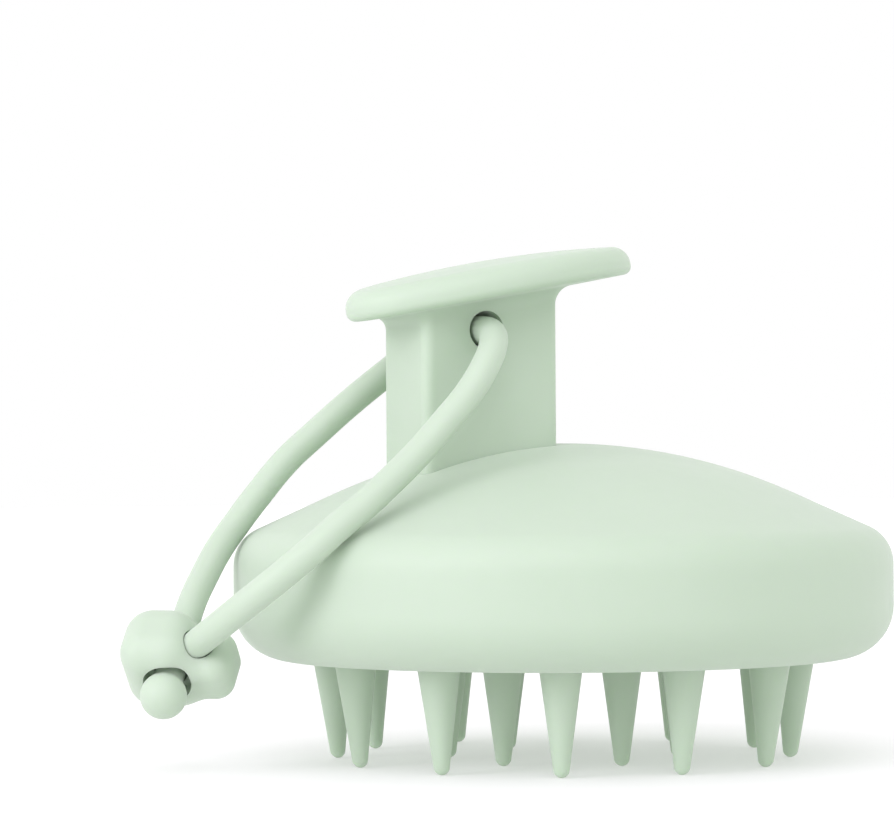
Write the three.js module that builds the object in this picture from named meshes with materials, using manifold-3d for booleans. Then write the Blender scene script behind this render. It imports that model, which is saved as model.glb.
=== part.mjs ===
// Scalp massager brush: a silicone head on nineteen bristles, with a stem, a grip plate and a
// lanyard. Sizes are in millimetres and +Z is up. The brush stands on its bristle tips at Z = 0,
// the head's axis is the Z axis, and the lanyard hangs over the front, which is -X.

import * as THREE from 'three';
import { RoundedBoxGeometry } from 'three/addons/geometries/RoundedBoxGeometry.js';
import { mergeVertices } from 'three/addons/utils/BufferGeometryUtils.js';
import Module from 'manifold-3d';

const wasm = await Module();
wasm.setup();

const GAP = 0.3; // between two pieces that touch
const UP = new THREE.Vector3(0, 0, 1);

// The head is a shallow bell with an upright wall.
const HEAD_RADIUS = 42.4;
const HEAD_UNDERSIDE = 13.0;
const HEAD_TOP = 40.5;
const DOME_RADIUS = 71.5;
const DOME_SLOPE = THREE.MathUtils.degToRad(24.4); // of the bell's skirt, below the dome
const SHOULDER_RADIUS = 5.1;
const SHOULDER_HEIGHT = 25.0; // where the wall ends and the shoulder starts
const LOWER_EDGE_RADIUS = 6.8;
const HEAD_SEGMENTS = 64;
const HEAD_ARC_STEPS = 5;

// The bristles stand in two rings round a middle one.
const BRISTLE_TIP_RADIUS = 1.0;
const BRISTLE_TAPER = 0.135; // growth of the radius for each millimetre of height
const BRISTLE_SEGMENTS = 16;
const BRISTLE_TIP_STEPS = 3;
const BRISTLE_RINGS = [
  { name: 'bristle_outer', count: 12, start: -0.5, tipRadius: 29.15, lean: 2.7 },
  { name: 'bristle_inner', count: 6, start: 29.5, tipRadius: 14.8, lean: 0.4 },
  { name: 'bristle_centre', count: 1, start: 0, tipRadius: 0, lean: 0 },
];

// The stem is a rounded bar. Its narrow ends sweep out under the grip plate.
const STEM_FRONT = -22.9;
const STEM_REAR = -3.65;
const STEM_WIDTH = 11.6; // along Y
const STEM_CORNER_RADIUS = 1.6;
const STEM_SWEEP = 2.0; // radius of both ends' sweep into the grip plate
const STEM_STEPS = 20;

// The grip plate is an oval that rises towards +X and droops a little at both ends.
const PLATE_CENTRE = new THREE.Vector3(-10.6, 0, 61.4);
const PLATE_LENGTH = 40.0;
const PLATE_WIDTH = 24.0;
const PLATE_THICKNESS = 5.0;
const PLATE_EDGE_RADIUS = 1.75;
const PLATE_DROOP = 0.55;
const PLATE_TILT = THREE.MathUtils.degToRad(10.1);
const PLATE_SEGMENTS = 48;
const PLATE_CURVE_STEPS = 5;

// The lanyard's cord runs through a hole across the stem.
const HOLE_CENTRE = new THREE.Vector3(-14.1, 0, 54.7);
const HOLE_DIAMETER = 4.9;
const CORD_DIAMETER = 3.6;
const CORD_SIDES = 8;
const CORD_STEPS = 64;

// The cord from its moulded end in the ring block, over the near rim of the head, through the
// stem and back over the far rim to the ring's hole.
const CORD_ROUTE = [
  [-52.0, 0.9, 15.4],
  [-51.1, -3.9, 17.8],
  [-49.6, -7.5, 20.2],
  [-47.7, -10.5, 22.6],
  [-45.2, -13.0, 25.3],
  [-42.4, -14.4, 27.9],
  [-39.4, -14.9, 30.5],
  [-36.3, -14.9, 32.7],
  [-32.3, -14.5, 35.8],
  [-28.2, -14.2, 39.3],
  [-24.2, -13.9, 43.2],
  [-20.8, -13.4, 46.6],
  [-18.0, -12.4, 49.9],
  [-15.8, -10.5, 52.6],
  [-14.5, -7.8, 54.2],
  [-14.2, -5.0, 54.7],
  [-14.2, 0.0, 54.7],
  [-14.2, 4.8, 54.7],
  [-14.7, 7.9, 54.0],
  [-16.5, 10.7, 52.1],
  [-19.5, 12.5, 49.4],
  [-23.6, 13.4, 46.1],
  [-28.5, 13.9, 42.0],
  [-32.7, 14.1, 38.4],
  [-36.6, 14.2, 34.1],
  [-39.8, 14.0, 30.4],
  [-42.7, 12.9, 27.3],
  [-45.6, 11.0, 23.9],
  [-48.2, 8.7, 20.9],
  [-50.8, 5.8, 17.3],
];

// The ring block and the ball lie on one line, the axis of the ring's hole.
const PULL_DIRECTION = new THREE.Vector3(-0.48, -0.54, -0.69).normalize();
const BALL_CENTRE = new THREE.Vector3(-55.9, 0, 9.95);
const BALL_RADIUS = 2.85;
const NECK_LENGTH = 10.3; // from the ball's centre to the end of the neck in the ring
const RING_FROM_BALL = 6.4; // from the ball's centre to the ring block's
const RING_HOLE_DIAMETER = 4.3;
const RING_MOUTH_DIAMETER = 5.9;
const RING_MOUTH_DEPTH = 2.4;
// Both lobes' sizes and centres are along the ring's own axes, which ringFrame sets up.
const MAIN_LOBE = { size: [9.2, 11.4, 9.4], at: [-1.55, -0.2, 0.0], corner: 3.5 };
const SIDE_LOBE = { size: [8.0, 7.0, 8.0], at: [3.5, -1.4, 0.2], corner: 2.8 };
const LOBE_CORNER_STEPS = 3;

const silicone = new THREE.MeshStandardMaterial({ color: 0xcfe3cf, roughness: 0.62, metalness: 0 });

function toSolid(geometry) {
  const bare = geometry.clone();
  bare.deleteAttribute('normal');
  bare.deleteAttribute('uv');
  const merged = mergeVertices(bare, 1e-4);
  const vertProperties = Float32Array.from(merged.attributes.position.array);
  const triVerts = Uint32Array.from(merged.index.array);
  const mesh = new wasm.Mesh({ numProp: 3, vertProperties, triVerts });
  mesh.merge();
  return new wasm.Manifold(mesh);
}

function toGeometry(solid) {
  const { vertProperties, triVerts, numProp } = solid.getMesh();
  const geometry = new THREE.BufferGeometry();
  geometry.setAttribute('position', new THREE.BufferAttribute(vertProperties, numProp));
  geometry.setIndex(new THREE.BufferAttribute(triVerts, 1));
  return geometry;
}

function named(name, geometry) {
  const mesh = new THREE.Mesh(geometry, silicone);
  mesh.name = name;
  return mesh;
}

// Turns an outline of (radius, height) points round the Z axis.
function turned(outline, segments) {
  return new THREE.LatheGeometry(outline, segments).rotateX(Math.PI / 2);
}

// Stacks outlines that all have the same number of points, and closes both ends.
function lofted(outlines) {
  const count = outlines[0].length;
  const positions = outlines.flat().flatMap((point) => point.toArray());
  const index = [];
  for (let ring = 0; ring + 1 < outlines.length; ring += 1) {
    for (let i = 0; i < count; i += 1) {
      const a = ring * count + i;
      const b = ring * count + ((i + 1) % count);
      index.push(a, b, b + count, a, b + count, a + count);
    }
  }
  const last = (outlines.length - 1) * count;
  for (let i = 1; i + 1 < count; i += 1) {
    index.push(0, i + 1, i, last, last + i, last + i + 1);
  }
  const geometry = new THREE.BufferGeometry();
  geometry.setAttribute('position', new THREE.Float32BufferAttribute(positions, 3));
  geometry.setIndex(index);
  return geometry;
}

function headOutline() {
  const shoulderX = HEAD_RADIUS - SHOULDER_RADIUS;
  const edgeX = HEAD_RADIUS - LOWER_EDGE_RADIUS;
  const edgeZ = HEAD_UNDERSIDE + LOWER_EDGE_RADIUS;
  const skirt = Math.PI / 2 - DOME_SLOPE;
  const outline = new THREE.Path();
  outline.moveTo(0, HEAD_UNDERSIDE);
  outline.lineTo(edgeX, HEAD_UNDERSIDE);
  outline.absarc(edgeX, edgeZ, LOWER_EDGE_RADIUS, -Math.PI / 2, 0);
  outline.absarc(shoulderX, SHOULDER_HEIGHT, SHOULDER_RADIUS, 0, skirt);
  outline.absarc(0, HEAD_TOP - DOME_RADIUS, DOME_RADIUS, skirt, Math.PI / 2);
  const points = outline.getPoints(HEAD_ARC_STEPS);
  points[points.length - 1].x = 0;
  return points;
}

function domeHeight(radius) {
  return HEAD_TOP - DOME_RADIUS + Math.sqrt(DOME_RADIUS ** 2 - radius ** 2);
}

function plateOutline() {
  const rim = PLATE_LENGTH / 2 - PLATE_EDGE_RADIUS;
  const crown = PLATE_THICKNESS / 2;
  const outline = new THREE.Path();
  outline.moveTo(0, -crown);
  outline.quadraticCurveTo(rim / 2, -crown, rim, -PLATE_EDGE_RADIUS);
  outline.absarc(rim, 0, PLATE_EDGE_RADIUS, -Math.PI / 2, Math.PI / 2);
  outline.quadraticCurveTo(rim / 2, crown, 0, crown);
  return outline.getPoints(PLATE_CURVE_STEPS);
}

function plateGeometry() {
  const geometry = turned(plateOutline(), PLATE_SEGMENTS);
  geometry.scale(1, PLATE_WIDTH / PLATE_LENGTH, 1);
  const { position } = geometry.attributes;
  for (let i = 0; i < position.count; i += 1) {
    const share = position.getX(i) / (PLATE_LENGTH / 2);
    position.setZ(i, position.getZ(i) - PLATE_DROOP * share ** 2);
  }
  geometry.rotateY(-PLATE_TILT);
  geometry.translate(...PLATE_CENTRE.toArray());
  return geometry;
}

function bristleGeometry() {
  const height = HEAD_UNDERSIDE - GAP;
  const rootRadius = BRISTLE_TIP_RADIUS + BRISTLE_TAPER * (height - BRISTLE_TIP_RADIUS);
  const tipSweep = Math.PI / 2 - Math.atan(BRISTLE_TAPER);
  const points = [];
  for (let step = 0; step <= BRISTLE_TIP_STEPS; step += 1) {
    const angle = (step / BRISTLE_TIP_STEPS) * tipSweep;
    const radius = BRISTLE_TIP_RADIUS * Math.sin(angle);
    points.push(new THREE.Vector2(radius, BRISTLE_TIP_RADIUS * (1 - Math.cos(angle))));
  }
  points.push(new THREE.Vector2(rootRadius, height));
  points.push(new THREE.Vector2(0, height));
  return turned(points, BRISTLE_SEGMENTS);
}

// How far the stem sweeps out at a given distance below the grip plate.
function sweep(distance) {
  const inside = THREE.MathUtils.clamp(STEM_SWEEP - distance, 0, STEM_SWEEP);
  return STEM_SWEEP - Math.sqrt(STEM_SWEEP ** 2 - inside ** 2);
}

// A rounded rectangle between two X positions, at one height.
function barOutline(front, rear, z) {
  const half = STEM_WIDTH / 2 - STEM_CORNER_RADIUS;
  const corners = [
    [rear - STEM_CORNER_RADIUS, half],
    [front + STEM_CORNER_RADIUS, half],
    [front + STEM_CORNER_RADIUS, -half],
    [rear - STEM_CORNER_RADIUS, -half],
  ];
  return corners.flatMap(([x, y], quarter) =>
    [0, 30, 60, 90].map((degrees) => {
      const angle = THREE.MathUtils.degToRad(degrees + 90 * quarter);
      const dx = STEM_CORNER_RADIUS * Math.cos(angle);
      const dy = STEM_CORNER_RADIUS * Math.sin(angle);
      return new THREE.Vector3(x + dx, y + dy, z);
    }),
  );
}

function plateUnderside(x) {
  return PLATE_CENTRE.z + (x - PLATE_CENTRE.x) * Math.tan(PLATE_TILT) - PLATE_THICKNESS / 2;
}

// The bar from inside the head's dome to the middle of the grip plate. Its levels crowd together
// towards the top, where it sweeps out.
function stemBar() {
  const foot = domeHeight(Math.abs(STEM_FRONT)) - STEM_CORNER_RADIUS;
  const outlines = [];
  for (let step = 0; step <= STEM_STEPS; step += 1) {
    const share = Math.sin((step / STEM_STEPS) * (Math.PI / 2));
    const z = THREE.MathUtils.lerp(foot, PLATE_CENTRE.z + 1, share);
    const front = STEM_FRONT - sweep(plateUnderside(STEM_FRONT) - z);
    const rear = STEM_REAR + sweep(plateUnderside(STEM_REAR) - z);
    outlines.push(barOutline(front, rear, z));
  }
  const down = new THREE.Vector3(Math.sin(PLATE_TILT), 0, -Math.cos(PLATE_TILT));
  return toSolid(lofted(outlines)).trimByPlane(down.toArray(), down.dot(PLATE_CENTRE));
}

function holeCutter() {
  const cutter = new THREE.CylinderGeometry(HOLE_DIAMETER / 2, HOLE_DIAMETER / 2, 2 * STEM_WIDTH, 24);
  return toSolid(cutter.translate(...HOLE_CENTRE.toArray()));
}

function stem(headGeometry) {
  const dome = toSolid(headGeometry.clone().translate(0, 0, GAP));
  const plate = toSolid(plateGeometry().translate(0, 0, -GAP));
  const cut = stemBar().subtract(dome).subtract(plate).subtract(holeCutter());
  return named('stem', toGeometry(cut));
}

function bristles() {
  const meshes = [];
  for (const { name, count, start, tipRadius, lean } of BRISTLE_RINGS) {
    for (let i = 0; i < count; i += 1) {
      const mesh = named(count > 1 ? `${name}_${i + 1}` : name, bristleGeometry());
      const angle = THREE.MathUtils.degToRad(start + (360 * i) / count);
      mesh.position.set(tipRadius * Math.cos(angle), tipRadius * Math.sin(angle), 0);
      mesh.rotation.set(0, THREE.MathUtils.degToRad(lean), angle, 'ZYX');
      meshes.push(mesh);
    }
  }
  return meshes;
}

function cord() {
  const section = new THREE.Shape();
  for (let side = 0; side < CORD_SIDES; side += 1) {
    const angle = ((side + 0.5) / CORD_SIDES) * 2 * Math.PI;
    const point = [Math.cos(angle), Math.sin(angle)].map((share) => (share * CORD_DIAMETER) / 2);
    if (side === 0) {
      section.moveTo(...point);
    } else {
      section.lineTo(...point);
    }
  }
  section.closePath();
  const route = new THREE.CatmullRomCurve3(CORD_ROUTE.map((point) => new THREE.Vector3(...point)));
  const geometry = new THREE.ExtrudeGeometry(section, { steps: CORD_STEPS, extrudePath: route });
  return named('lanyard_cord', geometry);
}

// A frame on the ring's centre: Z runs along its hole towards the ball, X is level, Y is upwards.
function ringFrame() {
  const side = new THREE.Vector3().crossVectors(UP, PULL_DIRECTION).normalize();
  const upward = new THREE.Vector3().crossVectors(PULL_DIRECTION, side);
  const frame = new THREE.Matrix4().makeBasis(side, upward, PULL_DIRECTION);
  return frame.setPosition(BALL_CENTRE.clone().addScaledVector(PULL_DIRECTION, -RING_FROM_BALL));
}

function lobe({ size, at, corner }) {
  return toSolid(new RoundedBoxGeometry(...size, LOBE_CORNER_STEPS, corner).translate(...at));
}

// A round rod that takes in the cord's moulded end, with a gap all round.
function cordSeat() {
  const [end, next] = CORD_ROUTE.slice(0, 2).map((point) => new THREE.Vector3(...point));
  const along = next.clone().sub(end).normalize();
  const start = end.clone().addScaledVector(along, -GAP);
  const length = start.distanceTo(next);
  const radius = CORD_DIAMETER / 2 + GAP;
  const seat = new THREE.CylinderGeometry(radius, radius, length, 20).translate(0, length / 2, 0);
  seat.applyQuaternion(new THREE.Quaternion().setFromUnitVectors(new THREE.Vector3(0, 1, 0), along));
  return toSolid(seat.translate(...start.toArray()));
}

function ringBlock() {
  const holeRadius = RING_HOLE_DIAMETER / 2;
  const mouthRadius = RING_MOUTH_DIAMETER / 2;
  const reach = MAIN_LOBE.size[2];
  const hole = new THREE.CylinderGeometry(holeRadius, holeRadius, 2 * reach, 20);
  const mouth = new THREE.CylinderGeometry(mouthRadius, mouthRadius, 2 * RING_MOUTH_DEPTH, 20);
  hole.rotateX(Math.PI / 2);
  mouth.rotateX(Math.PI / 2).translate(0, 0, reach / 2);
  const block = lobe(MAIN_LOBE).add(lobe(SIDE_LOBE)).subtract(toSolid(hole)).subtract(toSolid(mouth));
  const placed = toGeometry(block).applyMatrix4(ringFrame());
  return named('lanyard_ring', toGeometry(toSolid(placed).subtract(cordSeat())));
}

function ball() {
  const neckRadius = CORD_DIAMETER / 2;
  const join = Math.sqrt(BALL_RADIUS ** 2 - neckRadius ** 2);
  const points = [];
  for (let step = 0; step < 9; step += 1) {
    const angle = (step / 9) * (Math.PI - Math.asin(neckRadius / BALL_RADIUS));
    points.push(new THREE.Vector2(BALL_RADIUS * Math.sin(angle), -BALL_RADIUS * Math.cos(angle)));
  }
  points.push(new THREE.Vector2(neckRadius, join));
  points.push(new THREE.Vector2(neckRadius, NECK_LENGTH));
  points.push(new THREE.Vector2(0, NECK_LENGTH));
  const mesh = named('lanyard_ball', turned(points, 20));
  mesh.position.copy(BALL_CENTRE);
  mesh.quaternion.setFromUnitVectors(UP, PULL_DIRECTION.clone().negate());
  return mesh;
}

const group = new THREE.Group();
const headGeometry = turned(headOutline(), HEAD_SEGMENTS);
group.add(named('head', headGeometry));
group.add(stem(headGeometry));
group.add(named('grip_plate', plateGeometry()));
group.add(...bristles());
group.add(cord());
group.add(ringBlock());
group.add(ball());

export default group;
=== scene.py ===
"""Looks of the scalp massager brush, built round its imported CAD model. Sizes are in metres.

The head, stem and grip plate are one moulding, so they become one continuous skin. The grip and
the ring block are zero levels of distance formulas, which gives them their moulded fillets.
"""

import math

import bmesh
import bpy
import numpy as np
from mathutils import Matrix, Vector


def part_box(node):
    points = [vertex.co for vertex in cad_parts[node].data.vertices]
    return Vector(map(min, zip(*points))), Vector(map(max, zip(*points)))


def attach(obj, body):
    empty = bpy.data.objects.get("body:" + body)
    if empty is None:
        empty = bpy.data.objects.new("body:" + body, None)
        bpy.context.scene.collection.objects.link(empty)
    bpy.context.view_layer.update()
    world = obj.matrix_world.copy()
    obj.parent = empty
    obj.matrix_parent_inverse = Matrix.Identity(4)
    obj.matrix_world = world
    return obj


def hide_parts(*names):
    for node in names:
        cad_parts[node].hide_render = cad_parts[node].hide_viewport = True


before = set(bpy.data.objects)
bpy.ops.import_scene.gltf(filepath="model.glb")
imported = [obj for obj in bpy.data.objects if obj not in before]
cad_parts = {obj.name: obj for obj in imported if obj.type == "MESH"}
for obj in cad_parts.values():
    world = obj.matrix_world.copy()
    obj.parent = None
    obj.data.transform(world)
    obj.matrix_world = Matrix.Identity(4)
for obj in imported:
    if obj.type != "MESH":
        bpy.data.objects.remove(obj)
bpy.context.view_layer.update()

MM = 0.001

# The head is a shallow bell with an upright wall.
DOME_RADIUS = 71.5 * MM
DOME_SLOPE = math.radians(24.4)
SHOULDER_RADIUS = 5.1 * MM
SHOULDER_HEIGHT = 25.0 * MM  # of the centre of the shoulder's arc
LOWER_EDGE_RADIUS = 6.8 * MM

# The stem and the grip plate.
STEM_WIDTH = 11.6 * MM
STEM_FRONT = -22.9 * MM
STEM_REAR = -3.65 * MM
STEM_CORNER_RADIUS = 1.2 * MM
PLATE_CENTRE = Vector((-10.6, 0, 61.4)) * MM
PLATE_LENGTH = 40.0 * MM
PLATE_WIDTH = 24.0 * MM
PLATE_THICKNESS = 5.0 * MM
PLATE_DROOP = 0.55 * MM
PLATE_TILT = math.radians(10.1)
PLATE_WIDEST = -0.4 * MM  # height of the plate's widest line, from its middle
PLATE_UPPER_EDGE = 2.1 * MM
PLATE_LOWER_EDGE = 1.0 * MM
PLATE_CROWN = 0.75 * MM  # how much thinner each face is at the rim
PLATE_FILLET = 2.0 * MM  # between the stem and the plate
HOLE_CENTRE = Vector((-14.1, 0, 54.7)) * MM
HOLE_DIAMETER = 4.9 * MM
CREASE_ANGLE = math.radians(35)  # sharper edges than this stay crisp

# The bristles: name, count, angle of the first, radius of the ring of tips, outward lean.
BRISTLE_TIP_RADIUS = 1.0 * MM
BRISTLE_TAPER = 0.135  # growth of the radius for each unit of height
BRISTLE_ROOT_FILLET = 0.2 * MM
BRISTLE_RINGS = [
    ("bristle_outer", 12, -0.5, 29.15 * MM, math.radians(2.7)),
    ("bristle_inner", 6, 29.5, 14.8 * MM, math.radians(0.4)),
    ("bristle_centre", 1, 0, 0, 0),
]

# The lanyard. The route runs from the ring block round to the neck of the ball.
CORD_DIAMETER = 3.6 * MM
CORD_ROUTE = [
    (-0.0520, 0.0009, 0.0154),
    (-0.0511, -0.0039, 0.0178),
    (-0.0496, -0.0075, 0.0202),
    (-0.0477, -0.0105, 0.0226),
    (-0.0452, -0.0130, 0.0253),
    (-0.0424, -0.0144, 0.0279),
    (-0.0394, -0.0149, 0.0305),
    (-0.0363, -0.0149, 0.0327),
    (-0.0323, -0.0145, 0.0358),
    (-0.0282, -0.0142, 0.0393),
    (-0.0242, -0.0139, 0.0432),
    (-0.0208, -0.0134, 0.0466),
    (-0.0180, -0.0124, 0.0499),
    (-0.0158, -0.0105, 0.0526),
    (-0.0145, -0.0078, 0.0542),
    (-0.0142, -0.0050, 0.0547),
    (-0.0142, 0.0000, 0.0547),
    (-0.0142, 0.0048, 0.0547),
    (-0.0147, 0.0079, 0.0540),
    (-0.0165, 0.0107, 0.0521),
    (-0.0195, 0.0125, 0.0494),
    (-0.0236, 0.0134, 0.0461),
    (-0.0285, 0.0139, 0.0420),
    (-0.0327, 0.0141, 0.0384),
    (-0.0366, 0.0142, 0.0341),
    (-0.0398, 0.0140, 0.0304),
    (-0.0427, 0.0129, 0.0273),
    (-0.0456, 0.0110, 0.0239),
    (-0.0482, 0.0087, 0.0209),
    (-0.0508, 0.0058, 0.0173),
]
PULL_DIRECTION = Vector((-0.48, -0.54, -0.69)).normalized()
BALL_CENTRE = Vector((-55.9, 0, 9.95)) * MM
BALL_RADIUS = 2.85 * MM
BALL_NECK_LENGTH = 10.3 * MM
BALL_NECK_FILLET = 0.7 * MM
RING_FROM_BALL = 6.4 * MM
RING_HOLE_DIAMETER = 4.3 * MM
RING_MOUTH_DIAMETER = 5.9 * MM
RING_MOUTH_DEPTH = 2.4 * MM
SEAT_GAP = 0.15 * MM  # round the cord where it enters the ring block
LOBE_FILLET = 1.8 * MM
MAIN_LOBE = ((9.2 * MM, 11.4 * MM, 9.4 * MM), (-1.55 * MM, -0.2 * MM, 0), 3.5 * MM)
SIDE_LOBE = ((8.0 * MM, 6.7 * MM, 7.7 * MM), (3.5 * MM, -1.3 * MM, 0.1 * MM), 2.4 * MM)

# Mesh fineness.
HEAD_SEGMENTS = 160
HOLE_SEGMENTS = 64
BRISTLE_SEGMENTS = 40
LANYARD_SEGMENTS = 48
GRIP_VOXEL = 0.4 * MM
RING_VOXEL = 0.2 * MM
PROBE = 0.01 * MM  # step for measuring a formula's slope
WELD = 0.002 * MM  # closer points than this become one
EVENING_ROUNDS = 5
SETTLING_ROUNDS = 2  # without evening, to end exactly on the surface
GENTLEST_SLOPE = 0.05  # squared, so that a flat spot of a formula can't throw a point far


# ---------------------------------------------------------------- distance formulas


def join(a, b, fillet):
    """The union of two shapes, with a fillet of that radius where they meet."""
    near_a = np.maximum(fillet - a, 0)
    near_b = np.maximum(fillet - b, 0)
    return np.maximum(fillet, np.minimum(a, b)) - np.hypot(near_a, near_b)


def rounded_box(offset, half_size, corner):
    """Distance from a box with rounded corners, in two or three dimensions."""
    beyond = np.abs(offset) - np.array(half_size) + corner
    outside = np.linalg.norm(np.maximum(beyond, 0), axis=1)
    inside = np.minimum(beyond.max(axis=1), 0)
    return outside + inside - corner


def stem_foot():
    """How far down the stem reaches, well inside the head."""
    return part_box("stem")[0].z - LOWER_EDGE_RADIUS


def stem_distance(p):
    centre = np.array([(STEM_FRONT + STEM_REAR) / 2, 0])
    half_size = [(STEM_REAR - STEM_FRONT) / 2, STEM_WIDTH / 2]
    side = rounded_box(p[:, :2] - centre, half_size, STEM_CORNER_RADIUS)
    level = (p - np.array(PLATE_CENTRE)) @ [-math.sin(PLATE_TILT), 0, math.cos(PLATE_TILT)]
    return np.maximum(side, np.maximum(stem_foot() - p[:, 2], level))


def plate_distance(p):
    offset = p - np.array(PLATE_CENTRE)
    along = offset @ [math.cos(PLATE_TILT), 0, math.sin(PLATE_TILT)]
    level = offset @ [-math.sin(PLATE_TILT), 0, math.cos(PLATE_TILT)]
    long_radius = PLATE_LENGTH / 2
    short_radius = PLATE_WIDTH / 2
    across = offset[:, 1]
    share = np.hypot(along / long_radius, across / short_radius)
    growth = np.hypot(along / long_radius**2, across / short_radius**2)
    past_oval = (share - 1) * share / np.maximum(growth, 1)
    level = level + PLATE_DROOP * (along / long_radius) ** 2 - PLATE_WIDEST
    face = PLATE_THICKNESS / 2 - PLATE_WIDEST * np.sign(level)
    past_face = np.abs(level) - face + PLATE_CROWN * np.minimum(share, 1) ** 2
    edge = np.where(level > 0, PLATE_UPPER_EDGE, PLATE_LOWER_EDGE)
    beyond = np.stack([past_oval + edge, past_face + edge], axis=1)
    outside = np.linalg.norm(np.maximum(beyond, 0), axis=1)
    return outside + np.minimum(beyond.max(axis=1), 0) - edge


def grip_distance(p):
    return join(stem_distance(p), plate_distance(p), PLATE_FILLET)


def ring_frame():
    """The ring block's frame: Z runs along its hole towards the ball, X is level, Y is upwards."""
    side = Vector((0, 0, 1)).cross(PULL_DIRECTION).normalized()
    upward = PULL_DIRECTION.cross(side)
    turn = Matrix((side, upward, PULL_DIRECTION)).transposed()
    return Matrix.Translation(BALL_CENTRE - PULL_DIRECTION * RING_FROM_BALL) @ turn.to_4x4()


def ring_distance(p):
    to_ring = np.array(ring_frame().inverted())
    local = p @ to_ring[:3, :3].T + to_ring[:3, 3]
    lobes = []
    for size, at, corner in (MAIN_LOBE, SIDE_LOBE):
        lobes.append(rounded_box(local - np.array(at), np.array(size) / 2, corner))
    return join(*lobes, LOBE_FILLET)


# ---------------------------------------------------------------- meshes


def link(name, data):
    piece = bpy.data.objects.new(name, data)
    bpy.context.scene.collection.objects.link(piece)
    return piece


def finish_piece(piece, body, material, nodes):
    piece.data.materials.append(material)
    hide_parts(*nodes)
    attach(piece, body)
    return piece


def slope(formula, p):
    """How fast a formula grows along each axis, at each point."""
    growth = np.empty_like(p)
    for axis in range(3):
        step = np.zeros(3)
        step[axis] = PROBE
        growth[:, axis] = (formula(p + step) - formula(p - step)) / (2 * PROBE)
    return growth


def settled(formula, p):
    """Moves points straight to the surface where the formula is zero."""
    growth = slope(formula, p)
    steepness = np.maximum((growth**2).sum(axis=1), GENTLEST_SLOPE)
    step = growth * (formula(p) / steepness)[:, None]
    length = np.maximum(np.linalg.norm(step, axis=1), 1e-12)
    limit = np.minimum(1, GRIP_VOXEL / length)
    return p - step * limit[:, None]


def evened(p, edges, share):
    """Moves points towards the mean of their neighbours, which evens the mesh out."""
    total = np.zeros_like(p)
    count = np.zeros(len(p))
    for a, b in (edges.T, edges.T[::-1]):
        np.add.at(total, a, p[b])
        np.add.at(count, a, 1)
    return p + share * (total / count[:, None] - p)


def apply_modifiers(piece):
    evaluated = piece.evaluated_get(bpy.context.evaluated_depsgraph_get())
    mesh = bpy.data.meshes.new_from_object(evaluated)
    piece.modifiers.clear()
    piece.data = mesh
    return mesh


def clean(piece):
    """Welds the slivers that a boolean leaves, and splits the faces into triangles."""
    mesh = bmesh.new()
    mesh.from_mesh(piece.data)
    bmesh.ops.remove_doubles(mesh, verts=mesh.verts, dist=WELD)
    bmesh.ops.triangulate(mesh, faces=mesh.faces)
    mesh.to_mesh(piece.data)
    mesh.free()


def combine(piece, tool, operation):
    """Unites a piece with a tool, or cuts the tool out of it, and removes the tool."""
    boolean = piece.modifiers.new("combine", "BOOLEAN")
    boolean.operation = operation
    boolean.solver = "EXACT"
    boolean.object = tool
    apply_modifiers(piece)
    clean(piece)
    bpy.data.objects.remove(tool)


def skin(name, formula, seeds, voxel):
    """A closed mesh of the formula's zero surface, started from a rough union of the seeds."""
    rough = bmesh.new()
    for add_seed in seeds:
        add_seed(rough)
    mesh = bpy.data.meshes.new(name)
    rough.to_mesh(mesh)
    rough.free()
    piece = link(name, mesh)
    remesh = piece.modifiers.new("remesh", "REMESH")
    remesh.mode = "VOXEL"
    remesh.voxel_size = voxel
    mesh = apply_modifiers(piece)
    p = np.empty(len(mesh.vertices) * 3)
    mesh.vertices.foreach_get("co", p)
    p = p.reshape(-1, 3)
    edges = np.empty(len(mesh.edges) * 2, int)
    mesh.edges.foreach_get("vertices", edges)
    edges = edges.reshape(-1, 2)
    for _ in range(EVENING_ROUNDS):
        p = settled(formula, evened(p, edges, 0.5))
    for _ in range(SETTLING_ROUNDS):
        p = settled(formula, p)
    mesh.vertices.foreach_set("co", p.ravel())
    mesh.update()
    mesh.shade_smooth()
    return piece


def cad_seed(node):
    def add(rough):
        rough.from_mesh(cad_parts[node].data)

    return add


def box_seed(middle, size, frame_of_box=Matrix()):
    place = frame_of_box @ Matrix.Translation(middle) @ Matrix.Diagonal((*size, 1))

    def add(rough):
        bmesh.ops.create_cube(rough, size=1, matrix=place)

    return add


def arc(centre, radius, start, end, steps):
    """Points (radius, height) along part of a circle. Angles start at level and turn upwards."""
    angles = [start + (end - start) * step / steps for step in range(steps + 1)]
    return [(centre[0] + radius * math.cos(a), centre[1] + radius * math.sin(a)) for a in angles]


def turned(name, outline, segments, centres=None):
    """A closed mesh of rings round Z. Each outline point is (radius, height)."""
    mesh = bmesh.new()
    rings = []
    for i, (radius, height) in enumerate(outline):
        x, y = centres[i] if centres else (0, 0)
        if radius == 0:
            rings.append([mesh.verts.new((x, y, height))])
            continue
        ring = []
        for k in range(segments):
            angle = 2 * math.pi * k / segments
            place = (x + radius * math.cos(angle), y + radius * math.sin(angle), height)
            ring.append(mesh.verts.new(place))
        rings.append(ring)
    for lower, upper in zip(rings, rings[1:]):
        for k in range(segments):
            a, b = lower[k % len(lower)], lower[(k + 1) % len(lower)]
            d, c = upper[k % len(upper)], upper[(k + 1) % len(upper)]
            corners = [a, b, c, d]
            mesh.faces.new([v for i, v in enumerate(corners) if v not in corners[:i]])
    data = bpy.data.meshes.new(name)
    mesh.to_mesh(data)
    mesh.free()
    data.shade_smooth()
    return link(name, data)


# ---------------------------------------------------------------- the brush


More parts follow.
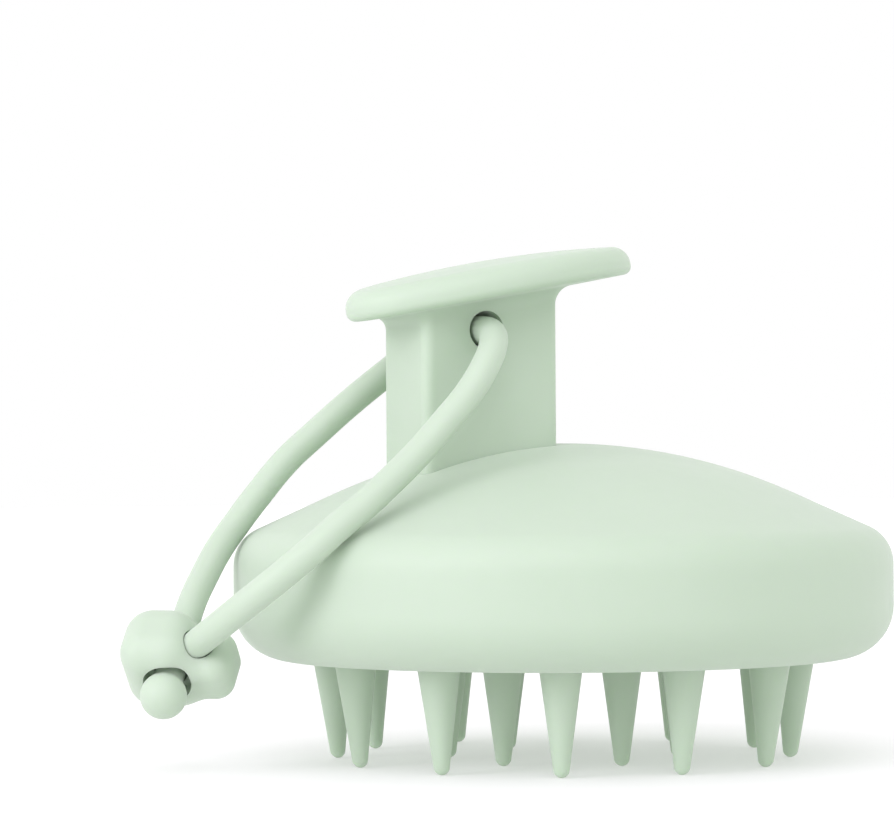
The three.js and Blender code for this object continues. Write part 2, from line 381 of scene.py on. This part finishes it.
def head_outline():
    low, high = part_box("head")
    quarter = math.pi / 2
    edge = (high.x - LOWER_EDGE_RADIUS, low.z + LOWER_EDGE_RADIUS)
    shoulder = (high.x - SHOULDER_RADIUS, SHOULDER_HEIGHT)
    dome = (0, high.z - DOME_RADIUS)
    outline = [(0, low.z)]
    outline += arc(edge, LOWER_EDGE_RADIUS, -quarter, 0, 12)
    outline += arc(shoulder, SHOULDER_RADIUS, 0, quarter - DOME_SLOPE, 10)
    outline += arc(dome, DOME_RADIUS, quarter - DOME_SLOPE, quarter, 16)[:-1]
    outline.append((0, high.z))
    return outline


def lanyard_hole():
    half = STEM_WIDTH
    radius = HOLE_DIAMETER / 2
    outline = [(0, -half), (radius, -half), (radius, half), (0, half)]
    hole = turned("lanyard_hole", outline, HOLE_SEGMENTS)
    hole.data.transform(Matrix.Translation(HOLE_CENTRE) @ Matrix.Rotation(math.pi / 2, 4, "X"))
    return hole


def brush_body(material):
    foot = stem_foot()
    middle = ((STEM_FRONT + STEM_REAR) / 2, 0, (foot + PLATE_CENTRE.z) / 2)
    stem_seed = box_seed(middle, (STEM_REAR - STEM_FRONT, STEM_WIDTH, PLATE_CENTRE.z - foot))
    piece = skin("brush_body", grip_distance, [stem_seed, cad_seed("grip_plate")], GRIP_VOXEL)
    combine(piece, lanyard_hole(), "DIFFERENCE")
    combine(piece, turned("head_bell", head_outline(), HEAD_SEGMENTS), "UNION")
    piece.data.shade_smooth()
    piece.data.set_sharp_from_angle(angle=CREASE_ANGLE)
    return finish_piece(piece, "brush", material, ["head", "stem", "grip_plate"])


def bristle_outline(height):
    """The tip's arc, the straight shank and a small fillet into the head's underside."""
    shank_angle = math.atan(BRISTLE_TAPER)
    outline = arc((0, BRISTLE_TIP_RADIUS), BRISTLE_TIP_RADIUS, -math.pi / 2, -shank_angle, 8)
    outline[0] = (0, 0)
    fillet_start = height - BRISTLE_ROOT_FILLET
    root_radius = BRISTLE_TIP_RADIUS + BRISTLE_TAPER * (fillet_start - BRISTLE_TIP_RADIUS)
    for step in range(1, 7):
        share = step / 6
        z = BRISTLE_TIP_RADIUS + (fillet_start - BRISTLE_TIP_RADIUS) * share
        outline.append((BRISTLE_TIP_RADIUS + (root_radius - BRISTLE_TIP_RADIUS) * share, z))
    fillet = (root_radius + BRISTLE_ROOT_FILLET, fillet_start)
    outline += arc(fillet, BRISTLE_ROOT_FILLET, math.pi - shank_angle, math.pi / 2, 4)
    outline.append((0, height + BRISTLE_ROOT_FILLET))
    return outline


def bristles(material):
    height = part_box("head")[0].z
    outline = bristle_outline(height)
    for name, count, start, tip_radius, lean in BRISTLE_RINGS:
        for i in range(count):
            node = f"{name}_{i + 1}" if count > 1 else name
            angle = math.radians(start + 360 * i / count)
            reaches = [tip_radius + z * math.tan(lean) for radius, z in outline]
            centres = [(reach * math.cos(angle), reach * math.sin(angle)) for reach in reaches]
            piece = turned(f"{node}_moulded", outline, BRISTLE_SEGMENTS, centres)
            finish_piece(piece, "brush", material, [node])


# ---------------------------------------------------------------- the lanyard


def lanyard_cord(material):
    curve = bpy.data.curves.new("lanyard_cord_moulded", "CURVE")
    curve.dimensions = "3D"
    curve.bevel_depth = CORD_DIAMETER / 2
    curve.bevel_resolution = 8
    curve.resolution_u = 8
    curve.use_fill_caps = True
    spline = curve.splines.new("BEZIER")
    spline.bezier_points.add(len(CORD_ROUTE) - 1)
    for point, place in zip(spline.bezier_points, CORD_ROUTE):
        point.co = place
        point.handle_left_type = "AUTO"
        point.handle_right_type = "AUTO"
    piece = link("lanyard_cord_moulded", curve)
    finish_piece(piece, "lanyard", material, ["lanyard_cord"])


def ring_hole():
    """The hole for the ball's neck, with its wider mouth on the side towards the ball."""
    reach = MAIN_LOBE[0][2]
    mouth_floor = reach / 2 - RING_MOUTH_DEPTH
    outline = [
        (0, -reach),
        (RING_HOLE_DIAMETER / 2, -reach),
        (RING_HOLE_DIAMETER / 2, mouth_floor),
        (RING_MOUTH_DIAMETER / 2, mouth_floor),
        (RING_MOUTH_DIAMETER / 2, reach),
        (0, reach),
    ]
    hole = turned("ring_hole", outline, HOLE_SEGMENTS)
    hole.data.transform(ring_frame())
    return hole


def cord_seat():
    """The socket that takes in the cord's moulded end."""
    end, mouth = Vector(CORD_ROUTE[0]), Vector(CORD_ROUTE[1])
    radius = CORD_DIAMETER / 2 + SEAT_GAP
    depth = (mouth - end).length
    outline = [(0, 0), (radius, 0), (radius, depth), (0, depth)]
    seat = turned("cord_seat", outline, LANYARD_SEGMENTS)
    turn = (mouth - end).to_track_quat("Z", "Y").to_matrix().to_4x4()
    seat.data.transform(Matrix.Translation(end) @ turn)
    return seat


def lanyard_ring(material):
    seeds = [box_seed(at, size, ring_frame()) for size, at, corner in (MAIN_LOBE, SIDE_LOBE)]
    piece = skin("lanyard_ring_moulded", ring_distance, seeds, RING_VOXEL)
    combine(piece, ring_hole(), "DIFFERENCE")
    combine(piece, cord_seat(), "DIFFERENCE")
    piece.data.shade_smooth()
    piece.data.set_sharp_from_angle(angle=CREASE_ANGLE)
    return finish_piece(piece, "lanyard", material, ["lanyard_ring"])


def lanyard_ball(material):
    neck = CORD_DIAMETER / 2
    fillet_reach = neck + BALL_NECK_FILLET
    fillet_height = math.sqrt((BALL_RADIUS + BALL_NECK_FILLET) ** 2 - fillet_reach**2)
    meet = math.atan2(fillet_reach, fillet_height)
    outline = []
    for step in range(25):
        angle = math.pi - (math.pi - meet) * step / 24
        outline.append((BALL_RADIUS * math.sin(angle), BALL_RADIUS * math.cos(angle)))
    outline[0] = (0, -BALL_RADIUS)
    for step in range(1, 7):
        angle = meet + (math.pi / 2 - meet) * step / 6
        radius = fillet_reach - BALL_NECK_FILLET * math.sin(angle)
        outline.append((radius, fillet_height - BALL_NECK_FILLET * math.cos(angle)))
    outline.append((neck, BALL_NECK_LENGTH))
    outline.append((0, BALL_NECK_LENGTH))
    piece = turned("lanyard_ball_moulded", outline, LANYARD_SEGMENTS)
    turn = (-PULL_DIRECTION).to_track_quat("Z", "Y").to_matrix().to_4x4()
    piece.data.transform(Matrix.Translation(BALL_CENTRE) @ turn)
    return finish_piece(piece, "ball_end", material, ["lanyard_ball"])


# ---------------------------------------------------------------- materials

BODY_COLOURS = ((0.466, 0.578, 0.448), (0.446, 0.558, 0.428))  # pale and deep patches
LANYARD_COLOURS = ((0.476, 0.583, 0.458), (0.456, 0.563, 0.438))
CLOUD_SCALE = 90
POLISH_SCALE = 400
GRAIN_SCALE = 5000
GRAIN_DEPTH = 0.02 * MM


def noise(nodes, links, scale, detail):
    place = nodes.get("place") or nodes.new("ShaderNodeTexCoord")
    place.name = "place"
    texture = nodes.new("ShaderNodeTexNoise")
    texture.inputs["Scale"].default_value = scale
    texture.inputs["Detail"].default_value = detail
    links.new(place.outputs["Object"], texture.inputs["Vector"])
    return texture.outputs["Fac"]


def silicone(name, pale, deep):
    """Matte moulded silicone: slightly clouded colour, a fine grain and soft light inside it."""
    material = bpy.data.materials.new(name)
    material.use_nodes = True
    nodes = material.node_tree.nodes
    links = material.node_tree.links
    shader = nodes["Principled BSDF"]
    shader.inputs["IOR"].default_value = 1.41
    shader.inputs["Specular IOR Level"].default_value = 1.0
    shader.inputs["Subsurface Weight"].default_value = 0.35
    shader.inputs["Subsurface Radius"].default_value = (1.0, 1.3, 0.8)
    shader.inputs["Subsurface Scale"].default_value = 1.6 * MM
    shader.inputs["Sheen Weight"].default_value = 0.2
    shader.inputs["Sheen Roughness"].default_value = 0.5

    colour = nodes.new("ShaderNodeMix")
    colour.data_type = "RGBA"
    colour.inputs["A"].default_value = (*pale, 1)
    colour.inputs["B"].default_value = (*deep, 1)
    links.new(noise(nodes, links, CLOUD_SCALE, 3), colour.inputs["Factor"])
    links.new(colour.outputs["Result"], shader.inputs["Base Color"])

    polish = nodes.new("ShaderNodeMapRange")
    polish.inputs["To Min"].default_value = 0.5
    polish.inputs["To Max"].default_value = 0.66
    links.new(noise(nodes, links, POLISH_SCALE, 4), polish.inputs["Value"])
    links.new(polish.outputs["Result"], shader.inputs["Roughness"])

    grain = nodes.new("ShaderNodeBump")
    grain.inputs["Strength"].default_value = 0.25
    grain.inputs["Distance"].default_value = GRAIN_DEPTH
    links.new(noise(nodes, links, GRAIN_SCALE, 2), grain.inputs["Height"])
    links.new(grain.outputs["Normal"], shader.inputs["Normal"])
    return material


# ---------------------------------------------------------------- the studio

CAMERA_PLACE = Vector((-0.2161, -0.3744, 0.0369))
CAMERA_AIM = Vector((-0.01276, 0.0075, 0.04426))
CAMERA_ROLL = math.radians(-0.313)
CAMERA_LENS = 134.65
FLOOR_SIZE = 6.0
FLOOR_FADE = (0.06, 0.5)  # distances from the brush over which the floor's glow rises to white
FLOOR_GLOW = (0.36, 0.5)  # glow of the floor at those distances: painted light, weaker near the brush as a painted shade round it
FLOOR_GREY = 0.6
LAMP_COLOUR = (0.95, 0.84, 1.0)  # a trace of violet, for a cooler green
LAMP_AIM = Vector((0, 0, 0.03))
LAMPS = [  # name, place, diameter, power
    ("key_light", Vector((-1.1, -0.15, 0.43)), 0.6, 4.9),
    ("front_light", Vector((-0.45, -0.75, 0.85)), 0.9, 4.35),
]


def camera():
    data = bpy.data.cameras.new("camera")
    data.lens = CAMERA_LENS
    data.clip_start = 0.01
    data.clip_end = 20
    piece = link("camera", data)
    turn = (CAMERA_AIM - CAMERA_PLACE).to_track_quat("-Z", "Y").to_matrix().to_4x4()
    piece.matrix_world = Matrix.Translation(CAMERA_PLACE) @ turn @ Matrix.Rotation(CAMERA_ROLL, 4, "Z")
    bpy.context.scene.camera = piece


def floor_material():
    material = bpy.data.materials.new("floor")
    material.use_nodes = True
    nodes = material.node_tree.nodes
    links = material.node_tree.links
    shader = nodes["Principled BSDF"]
    shader.inputs["Base Color"].default_value = (FLOOR_GREY, FLOOR_GREY, FLOOR_GREY, 1)
    shader.inputs["Roughness"].default_value = 0.7
    shader.inputs["Emission Color"].default_value = (1, 1, 1, 1)
    place = nodes.new("ShaderNodeTexCoord")
    distance = nodes.new("ShaderNodeVectorMath")
    distance.operation = "LENGTH"
    glow = nodes.new("ShaderNodeMapRange")
    glow.interpolation_type = "SMOOTHSTEP"
    glow.inputs["From Min"].default_value = FLOOR_FADE[0]
    glow.inputs["From Max"].default_value = FLOOR_FADE[1]
    glow.inputs["To Min"].default_value = FLOOR_GLOW[0]
    glow.inputs["To Max"].default_value = FLOOR_GLOW[1]
    links.new(place.outputs["Object"], distance.inputs[0])
    links.new(distance.outputs["Value"], glow.inputs["Value"])
    # The floor glows though it is no lamp. This painted light reaches the brush from below, and the
    # weaker glow near the brush is painted shade round it.
    links.new(glow.outputs["Result"], shader.inputs["Emission Strength"])
    return material


def floor():
    mesh = bmesh.new()
    bmesh.ops.create_grid(mesh, x_segments=1, y_segments=1, size=FLOOR_SIZE / 2)
    data = bpy.data.meshes.new("floor")
    mesh.to_mesh(data)
    mesh.free()
    data.materials.append(floor_material())
    link("floor", data)


def area_light(name, place, size, power):
    data = bpy.data.lights.new(name, "AREA")
    data.shape = "DISK"
    data.size = size
    data.energy = power
    data.color = LAMP_COLOUR
    piece = link(name, data)
    turn = (LAMP_AIM - place).to_track_quat("-Z", "Y").to_matrix().to_4x4()
    piece.matrix_world = Matrix.Translation(place) @ turn


def studio():
    world = bpy.data.worlds.new("world")
    world.use_nodes = True
    sky = world.node_tree.nodes["Background"]
    sky.inputs["Color"].default_value = (1, 1, 1, 1)
    sky.inputs["Strength"].default_value = 1.0
    bpy.context.scene.world = world
    bpy.context.scene.view_settings.view_transform = "Standard"
    for lamp in LAMPS:
        area_light(*lamp)
    floor()
    camera()


# ---------------------------------------------------------------- the whole object


def main():
    body_silicone = silicone("body_silicone", *BODY_COLOURS)
    lanyard_silicone = silicone("lanyard_silicone", *LANYARD_COLOURS)
    ring = lanyard_ring(lanyard_silicone)
    ball = lanyard_ball(lanyard_silicone)
    lanyard_cord(lanyard_silicone)
    brush_body(body_silicone)
    bristles(body_silicone)
    studio()


main()
